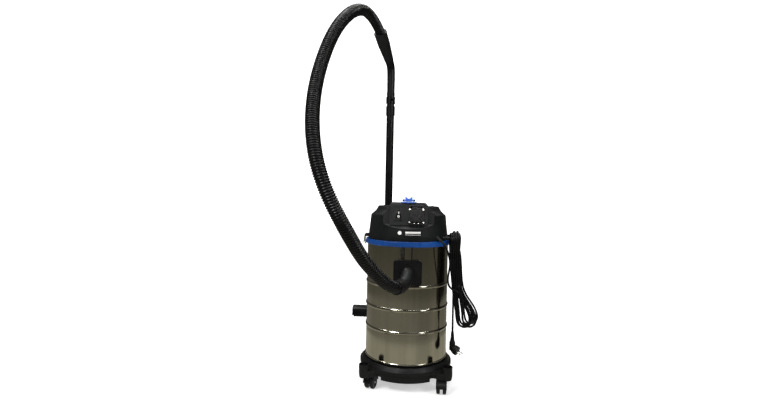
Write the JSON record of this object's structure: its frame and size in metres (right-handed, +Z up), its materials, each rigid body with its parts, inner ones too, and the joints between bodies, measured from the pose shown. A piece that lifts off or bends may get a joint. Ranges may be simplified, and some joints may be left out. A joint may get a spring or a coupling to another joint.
{
  "type": "shop vacuum",
  "caption": "Wet and dry shop vacuum: steel tank on a castored base, lift-off motor head with latches, front hose, parked wand and floor nozzle.",
  "frame": {"origin": "on the floor on the tank's axis, midway between the casters", "axes": "+Z up along the tank's axis, -Y towards the front with the inlet and the control panel, +X to the right as seen from the front"},
  "size_m": [0.6118, 0.9344, 1.5474],
  "materials": {
    "base_plastic": "moulded, fine grain",
    "tank_steel": "bright rolled stainless",
    "blue_plastic": "satin moulded",
    "moulded_plastic": "moulded, fine grain",
    "rubber": "matt",
    "soft_black": "soft moulded",
    "hose_plastic": "corrugated, satin",
    "wand_plastic": "satin",
    "brush_fibre": "bristle strips",
    "head_plastic": "moulded, fine grain",
    "motor_metal": "cast",
    "panel_plastic": "fine spark texture",
    "gloss_black": "semi-gloss",
    "plated_steel": "bright plated",
    "lever_plastic": "satin moulded",
    "white_plastic": "moulded",
    "filter_paper": "pleated",
    "cord_pvc": "smooth sheath",
    "wheel_rubber": "moulded tread"
  },
  "bodies": {
    "tank_unit": {"base_tray": "base_plastic", "tank_shell": "tank_steel", "rim_band": "blue_plastic", "inlet_strap": "tank_steel", "inlet_box": "moulded_plastic", "inlet_gasket": "rubber", "inlet_deflector": "moulded_plastic", "inlet_elbow": "moulded_plastic", "hose_cuff_lower": "soft_black", "hose": "hose_plastic", "hose_cuff_upper": "soft_black", "grip_tube": "wand_plastic", "wand_upper": "wand_plastic", "wand_lower": "wand_plastic", "nozzle_neck": "wand_plastic", "park_bracket": "base_plastic"},
    "regulator": {"air_regulator": "wand_plastic"},
    "nozzle": {"nozzle_body": "wand_plastic", "nozzle_brushes": "brush_fibre"},
    "head": {"head_base": "head_plastic", "head_cover": "head_plastic", "head_seal": "rubber", "motor_body": "motor_metal", "control_panel": "panel_plastic", "switch_bezel": "gloss_black", "outlet_body": "gloss_black", "outlet_screws": "plated_steel", "lever_mount": "lever_plastic", "lever_pin": "gloss_black", "filter_cage": "white_plastic", "filter_cartridge": "filter_paper", "cover_screws": "plated_steel", "cord_gland": "rubber", "cord_lead": "cord_pvc", "cord_hank": "cord_pvc", "plug_lead": "cord_pvc", "plug_body": "cord_pvc", "plug_pins": "plated_steel"},
    "rotor": {"motor_shaft": "plated_steel", "motor_fan": "motor_metal"},
    "rocker": {"switch_rocker": "gloss_black"},
    "lid": {"outlet_lid": "gloss_black"},
    "lever": {"cleaning_lever": "lever_plastic"},
    "float": {"float_ball": "white_plastic"},
    "latch_left": {"latch_lever_left": "plated_steel"},
    "bail_left": {"latch_bail_left": "plated_steel"},
    "latch_right": {"latch_lever_right": "plated_steel"},
    "bail_right": {"latch_bail_right": "plated_steel"},
    "caster_fl": {"caster_hood_fl": "base_plastic", "caster_axle_fl": "plated_steel"},
    "wheels_fl": {"caster_wheels_fl": "wheel_rubber"},
    "caster_fr": {"caster_hood_fr": "base_plastic", "caster_axle_fr": "plated_steel"},
    "wheels_fr": {"caster_wheels_fr": "wheel_rubber"},
    "caster_rl": {"caster_hood_rl": "base_plastic", "caster_axle_rl": "plated_steel"},
    "wheels_rl": {"caster_wheels_rl": "wheel_rubber"},
    "caster_rr": {"caster_hood_rr": "base_plastic", "caster_axle_rr": "plated_steel"},
    "wheels_rr": {"caster_wheels_rr": "wheel_rubber"}
  },
  "joints": [
    {"name": "head_lift", "type": "slide", "parent": "tank_unit", "child": "head", "axis": [0, 0, 1], "range_m": [0, 0.3]},
    {"name": "regulator_turn", "type": "hinge", "parent": "tank_unit", "child": "regulator", "pos_m": [-0.094, 0.212, 1.221], "axis": [0, 0, 1], "range_deg": [0, 35]},
    {"name": "nozzle_tilt", "type": "hinge", "parent": "tank_unit", "child": "nozzle", "pos_m": [-0.094, 0.216, 0.222], "axis": [1, 0, 0], "range_deg": [0, 70]},
    {"name": "motor_spin", "type": "hinge", "parent": "head", "child": "rotor", "pos_m": [0, 0, 0.65], "axis": [0, 0, 1], "continuous": true},
    {"name": "switch_press", "type": "hinge", "parent": "head", "child": "rocker", "pos_m": [-0.04, -0.12247, 0.69211], "axis": [1, 0, 0], "range_deg": [0, 12]},
    {"name": "lid_open", "type": "hinge", "parent": "head", "child": "lid", "pos_m": [0.031, -0.11716, 0.72715], "axis": [-1, 0, 0], "range_deg": [0, 100], "stiffness_Nm_per_rad": 0.02, "springref_deg": -17.19},
    {"name": "lever_pull", "type": "hinge", "parent": "head", "child": "lever", "pos_m": [0, -0.084, 0.751], "axis": [1, 0, 0], "range_deg": [0, 35], "stiffness_Nm_per_rad": 0.1, "springref_deg": -5.73},
    {"name": "float_rise", "type": "slide", "parent": "head", "child": "float", "axis": [0, 0, 1], "range_m": [0, 0.086]},
    {"name": "latch_left_open", "type": "hinge", "parent": "head", "child": "latch_left", "pos_m": [-0.178, 0, 0.601], "axis": [0, 1, 0], "range_deg": [0, 110]},
    {"name": "bail_left_swing", "type": "hinge", "parent": "latch_left", "child": "bail_left", "pos_m": [-0.1836, 0, 0.588], "axis": [0, 1, 0], "range_deg": [0, 60]},
    {"name": "latch_right_open", "type": "hinge", "parent": "head", "child": "latch_right", "pos_m": [0.178, 0, 0.601], "axis": [0, -1, 0], "range_deg": [0, 110]},
    {"name": "bail_right_swing", "type": "hinge", "parent": "latch_right", "child": "bail_right", "pos_m": [0.1836, 0, 0.588], "axis": [0, -1, 0], "range_deg": [0, 60]},
    {"name": "caster_fl_swivel", "type": "hinge", "parent": "tank_unit", "child": "caster_fl", "pos_m": [-0.143, -0.143, 0.05], "axis": [0, 0, 1], "continuous": true},
    {"name": "wheels_fl_roll", "type": "hinge", "parent": "caster_fl", "child": "wheels_fl", "pos_m": [-0.13753, -0.12796, 0.025], "axis": [-0.9397, 0.342, 0], "continuous": true},
    {"name": "caster_fr_swivel", "type": "hinge", "parent": "tank_unit", "child": "caster_fr", "pos_m": [0.143, -0.143, 0.05], "axis": [0, 0, 1], "continuous": true},
    {"name": "wheels_fr_roll", "type": "hinge", "parent": "caster_fr", "child": "wheels_fr", "pos_m": [0.14133, -0.15891, 0.025], "axis": [0.9945, -0.1045, 0], "continuous": true},
    {"name": "caster_rl_swivel", "type": "hinge", "parent": "tank_unit", "child": "caster_rl", "pos_m": [-0.143, 0.143, 0.05], "axis": [0, 0, 1], "continuous": true},
    {"name": "wheels_rl_roll", "type": "hinge", "parent": "caster_rl", "child": "wheels_rl", "pos_m": [-0.14714, 0.15846, 0.025], "axis": [-0.9659, -0.2588, 0], "continuous": true},
    {"name": "caster_rr_swivel", "type": "hinge", "parent": "tank_unit", "child": "caster_rr", "pos_m": [0.143, 0.143, 0.05], "axis": [0, 0, 1], "continuous": true},
    {"name": "wheels_rr_roll", "type": "hinge", "parent": "caster_rr", "child": "wheels_rr", "pos_m": [0.14523, 0.15884, 0.025], "axis": [-0.9903, 0.1392, 0], "continuous": true}
  ]
}
